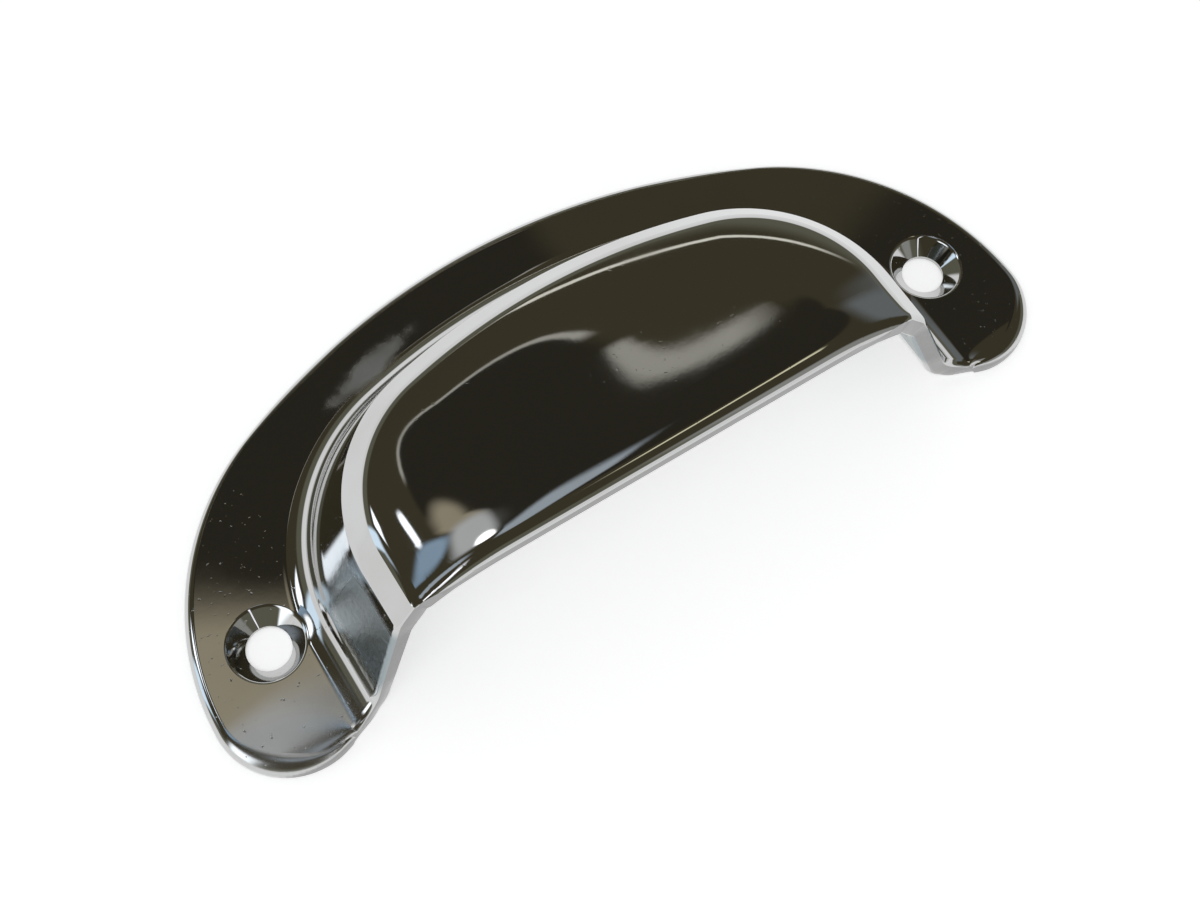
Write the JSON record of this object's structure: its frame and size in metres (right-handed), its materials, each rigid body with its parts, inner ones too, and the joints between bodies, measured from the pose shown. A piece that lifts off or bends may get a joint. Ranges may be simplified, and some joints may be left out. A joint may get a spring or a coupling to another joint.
{
  "type": "cup drawer pull",
  "caption": "Half-moon cup pull for a drawer: a cast hood to hook the fingers behind, on a flat flange with a countersunk screw hole in each ear.",
  "frame": {"origin": "on the back face, midway between the two screw holes", "axes": "+X along the screw line, +Y up the drawer front towards the crown, +Z out of the drawer front"},
  "size_m": [0.0918, 0.0392, 0.017],
  "materials": {
    "chrome": "polished chrome plate on a casting"
  },
  "bodies": {
    "root": {"cup_pull": "chrome"}
  },
  "joints": []
}
